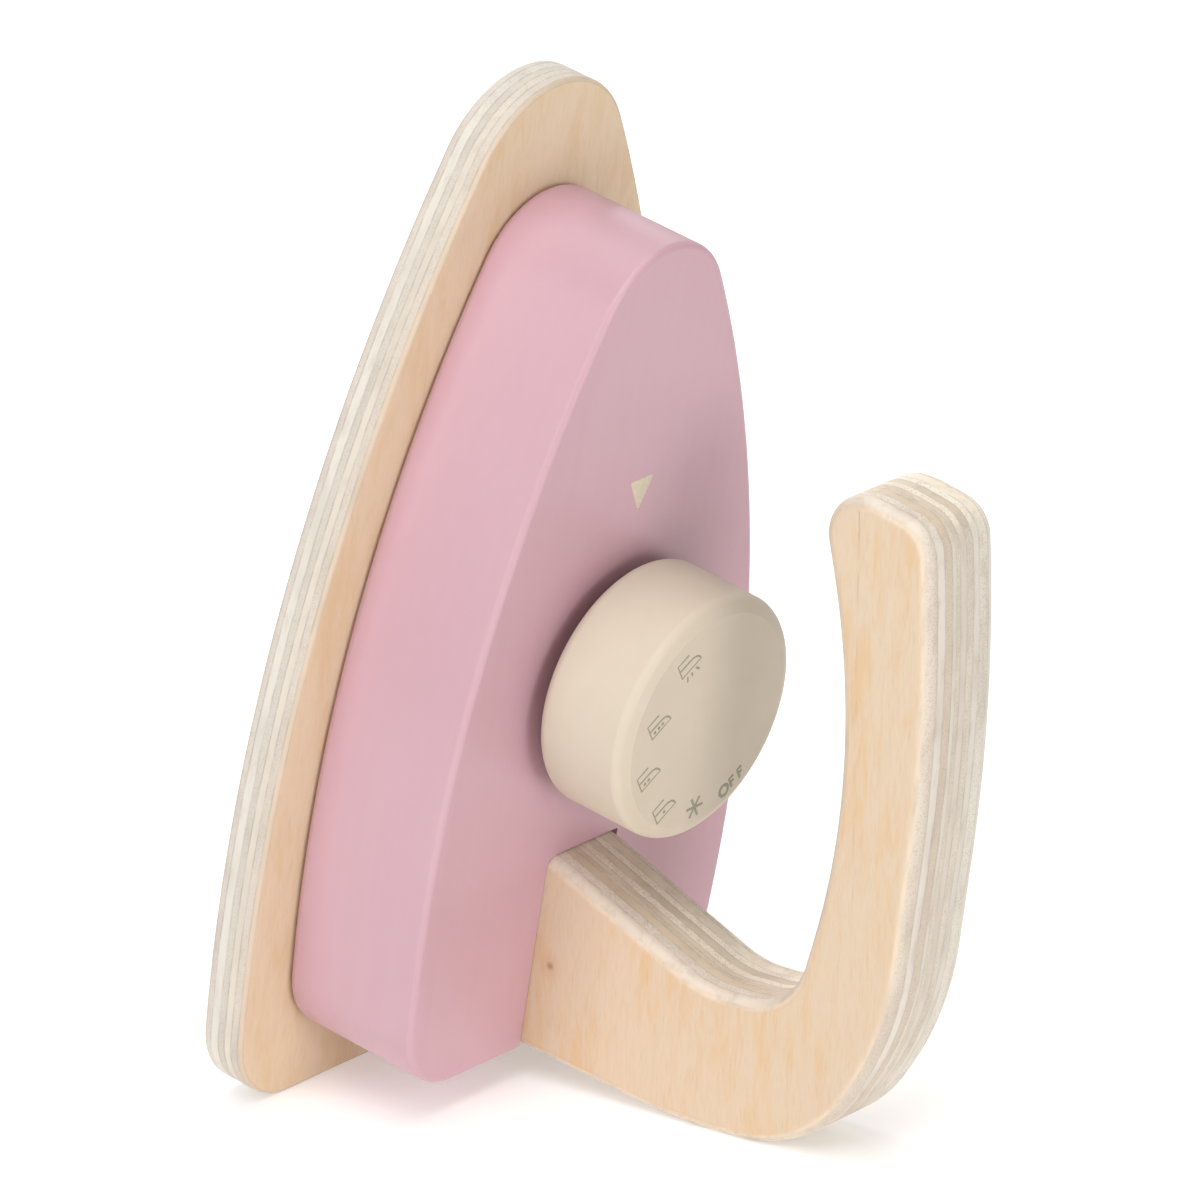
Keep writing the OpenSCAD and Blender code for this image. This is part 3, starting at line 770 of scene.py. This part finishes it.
def makeKnob():
    radius, height, rim = knobShape["radius"], knobShape["height"], knobShape["rim"]
    insert, flange = knobShape["insertRound"], knobShape["flangeRound"]
    drop = rim * math.tan(math.radians(knobShape["rimSlope"]))
    bm = bmesh.new()
    turnProfile(bm, [
        (0, knobShape["insertDepth"], 0), (insert, knobShape["insertDepth"], 0),
        (insert, knobShape["flangeDepth"], 0), (flange, knobShape["flangeDepth"], 0), (flange, 0, 0),
        (radius, 0, knobShape["backRound"]), (radius, height - drop, knobShape["frontRound"]),
        (radius - rim, height, 0), (0, height, 0),
    ], knobCentre.xy, knobShape["base"])
    placePiece(bm, "turnedKnob", creamPaint, "knob", "knob", knobShape["sharpAngle"])


makeKnob()
print("knob made")

# Felt washer
felt = {
    "outer": 10, "inner": 2.7, "thickness": 2.9, "edge": 0.5, "boreEdge": 0.2, "steps": 120,
    "sharpAngle": 60,
}


def makeFelt():
    outer, inner, thickness = felt["outer"], felt["inner"], felt["thickness"]
    bm = bmesh.new()
    turnProfile(bm, [
        (inner, 0, felt["boreEdge"]), (outer, 0, felt["edge"]),
        (outer, thickness, felt["edge"]), (inner, thickness, felt["boreEdge"]),
    ], knobCentre.xy, block["depth"], steps=felt["steps"], closed=True)
    placePiece(bm, "feltWasher", greyFelt, "iron", "felt_washer", felt["sharpAngle"])


makeFelt()
print("felt washer made")

# Printed marks on the knob's face
ink = {"rise": 0.05, "turn": 32, "dot": 0.34, "dotSteps": 10, "roundness": 3, "sharpAngle": 60}


def starStrokes(arm):
    return [[(-arm * math.sin(a), -arm * math.cos(a)), (arm * math.sin(a), arm * math.cos(a))]
            for a in (0, math.pi / 3, 2 * math.pi / 3)]


def ringPoints(radius, x, y, count=28):
    turns = [2 * math.pi * i / count for i in range(count)]
    return [(x + radius * math.cos(turn), y + radius * math.sin(turn)) for turn in turns]


ironSign = [[
    (0.75, 2.05), (-2.2, 2.05), (-2.2, -1.2), (2.85, -1.15), (2.62, -0.4), (2.1, 0.22), (1.2, 0.55),
    (-2.15, 0.6),
]]
steamSign = [
    [(0.75, 2.4), (-2.2, 2.4), (-2.2, -0.7), (2.9, -0.7), (2.66, 0.02), (2.1, 0.62), (1.2, 0.95),
     (-2.15, 1.0)],
    [(-1.0, -1.5), (-1.4, -2.5)], [(0, -1.5), (0, -2.3)], [(1.2, -1.4), (1.8, -2.4)],
]
# the word's last two letters: a ring stands for the first
offLetters = [
    [(-0.7, -0.8), (-0.7, 1.2), (0.4, 1.2)], [(-0.7, 0.25), (0.2, 0.25)],
    [(1.5, -0.8), (1.5, 1.2), (2.6, 1.2)], [(1.5, 0.25), (2.4, 0.25)],
]
# each mark's middle, from the knob's axis, the width of its lines, and what it is drawn from
marks = {
    "markSteam": {"at": (-7.4, 12.4), "width": 0.4, "strokes": steamSign},
    "markThree": {"at": (-13.4, 3.2), "width": 0.4, "strokes": ironSign,
                  "dots": [(-1.2, -0.4), (-0.1, -0.4), (0.9, -0.4)]},
    "markTwo": {"at": (-14.1, -6.4), "width": 0.4, "strokes": ironSign,
                "dots": [(-1.05, -0.4), (-0.05, -0.4)]},
    "markOne": {"at": (-8.4, -14.3), "width": 0.4, "strokes": ironSign, "dots": [(0, -0.4)]},
    "markStar": {"at": (0.1, -16.4), "width": 0.56, "strokes": starStrokes(2.1)},
    "markOff": {"at": (9.9, -14.5), "width": 0.64, "strokes": offLetters,
                "loops": [ringPoints(1.07, -2.5, 0.2)]},
}


def inkMesh(name, mark):
    # Lays strokes and loops as flattened round lines, and dots as low domes
    curve = bpy.data.curves.new(name, "CURVE")
    curve.dimensions = "3D"
    curve.bevel_depth = mark["width"] / 2
    curve.bevel_resolution = ink["roundness"]
    curve.use_fill_caps = True
    lines = [(stroke, False) for stroke in mark["strokes"]] + [(loop, True) for loop in mark.get("loops", [])]
    for points, cyclic in lines:
        spline = curve.splines.new("POLY")
        spline.points.add(len(points) - 1)
        for point, (x, y) in zip(spline.points, points):
            point.co = (x, y, 0, 1)
        spline.use_cyclic_u = cyclic
    holder = bpy.data.objects.new(name, curve)
    bpy.context.scene.collection.objects.link(holder)
    graph = bpy.context.evaluated_depsgraph_get()
    bm = bmesh.new()
    bm.from_mesh(bpy.data.meshes.new_from_object(holder.evaluated_get(graph)))
    bpy.data.objects.remove(holder)
    for x, y in mark.get("dots", []):
        bmesh.ops.create_uvsphere(
            bm, u_segments=2 * ink["dotSteps"], v_segments=ink["dotSteps"], radius=ink["dot"],
            matrix=Matrix.Translation((x, y, 0)),
        )
    bmesh.ops.scale(bm, verts=bm.verts, vec=(1, 1, ink["rise"] * 2 / mark["width"]))
    return bm


def placeMark(name, mark):
    bm = inkMesh(name, mark)
    x, y = knobCentre.xy + Vector(mark["at"])
    spot = Matrix.Translation((x, y, knobShape["base"] + knobShape["height"]))
    bmesh.ops.transform(bm, matrix=spot @ Matrix.Rotation(math.radians(ink["turn"]), 4, "Z"), verts=bm.verts)
    placePiece(bm, name, dialInk, "knob", sharpAngle=ink["sharpAngle"], weighted=False)


for name, mark in marks.items():
    placeMark(name, mark)
print("knob's marks made")

# Pointer printed on the body
pointer = {
    "corners": [(-2.2, 118.1, 0.4), (0.9, 112.0, 0.4), (3.9, 118.2, 0.4)], "rise": 0.06, "sink": 0.05,
    "edge": 0.05, "edgeSteps": 2, "sharpAngle": 60,
}


def makePointer():
    top = block["depth"] + pointer["rise"]
    bm = bmesh.new()
    traceCorners(bm, pointer["corners"])
    raisePlate(bm, block["depth"] - pointer["sink"], top)
    roundArris(bm, top, pointer["edge"], pointer["edgeSteps"])
    placePiece(
        bm, "pointerMark", pointerInk, "iron", sharpAngle=pointer["sharpAngle"],
        weighted=False,
    )


makePointer()
print("pointer made")

# Inner pieces keep the CAD's shape
innerFinish = {
    "sole_dowel_nose": beechDowel, "sole_dowel_left": beechDowel, "sole_dowel_right": beechDowel,
    "handle_screw_upper": zincSteel, "handle_screw_lower": zincSteel, "knob_insert": turnedBrass,
    "knob_screw": zincSteel, "screw_washer": zincSteel, "spring_washer": zincSteel,
}
for nodeName, finish in innerFinish.items():
    frame["nodes"][nodeName].data.materials.clear()
    frame["nodes"][nodeName].data.materials.append(finish)
print("inner pieces finished")

# Floor
studio = {
    "floor": (246, 246, 246), "floorSize": 12, "floorRoughness": 0.9, "floorShine": 0.1,
    "glow": (255, 255, 255), "glowStrength": 0.26, "world": (255, 255, 255), "worldStrength": 0.01,
}


def makeFloor():
    bm = bmesh.new()
    bmesh.ops.create_grid(bm, x_segments=1, y_segments=1, size=studio["floorSize"])
    floor = toObject(bm, "floor")
    material, tree, shader = newMaterial("paleFloor", studio["floorRoughness"])
    feed(tree, shader["Base Color"], studio["floor"])
    feed(tree, shader["Specular IOR Level"], studio["floorShine"])
    feed(tree, shader["Emission Color"], studio["glow"])
    feed(tree, shader["Emission Strength"], studio["glowStrength"])
    floor.data.materials.append(material)


makeFloor()

# Lights: azimuth from the handle's side, elevation, distance, size and watts of each softbox
softboxes = {
    "keyLight": (-60, 55, 1.5, 0.95, 10.2), "leftLight": (-100, 20, 1.5, 0.95, 6.9),
    "frontLight": (-12, 25, 1.3, 0.4, 1.6), "lowFrontLight": (-17, 5, 1.3, 0.35, 3.6),
    "rightLight": (90, 20, 1.5, 0.95, 2.6), "backLight": (140, 20, 1.5, 0.95, 9.1),
    "upperBackLight": (150, 55, 1.5, 0.95, 2.6), "topLight": (0, 88, 1.5, 0.95, 8.8),
}


def addSoftbox(name, azimuth, elevation, distance, size, power, aim=(0, 0, 0.085)):
    light = bpy.data.lights.new(name, "AREA")
    light.shape = "SQUARE"
    light.size = size
    light.energy = power
    holder = bpy.data.objects.new(name, light)
    bpy.context.scene.collection.objects.link(holder)
    a, e = math.radians(azimuth), math.radians(elevation)
    away = Vector((math.sin(a) * math.cos(e), -math.cos(a) * math.cos(e), math.sin(e)))
    holder.location = Vector(aim) + away * distance
    holder.rotation_euler = away.to_track_quat("Z", "Y").to_euler()


for name, setting in softboxes.items():
    addSoftbox(name, *setting)

world = bpy.data.worlds.new("studioWorld")
world.use_nodes = True
sky = world.node_tree.nodes["Background"].inputs
feed(world.node_tree, sky["Color"], studio["world"])
feed(world.node_tree, sky["Strength"], studio["worldStrength"])
bpy.context.scene.world = world
bpy.context.scene.view_settings.view_transform = "Standard"

# Camera
viewpoint = {
    "place": (-1.41807, -1.19723, 0.72976), "turn": (70.9534, 1.8089, -50.1563),
    "lens": 355.0, "sensor": 36.0, "shift": (-0.00156, -0.00146), "clip": (0.1, 50),
}
camera = bpy.data.cameras.new("camera")
camera.lens, camera.sensor_width = viewpoint["lens"], viewpoint["sensor"]
camera.shift_x, camera.shift_y = viewpoint["shift"]
camera.clip_start, camera.clip_end = viewpoint["clip"]
cameraHolder = bpy.data.objects.new("camera", camera)
bpy.context.scene.collection.objects.link(cameraHolder)
cameraHolder.location = viewpoint["place"]
cameraHolder.rotation_euler = [math.radians(angle) for angle in viewpoint["turn"]]
bpy.context.scene.camera = cameraHolder
print("studio made")
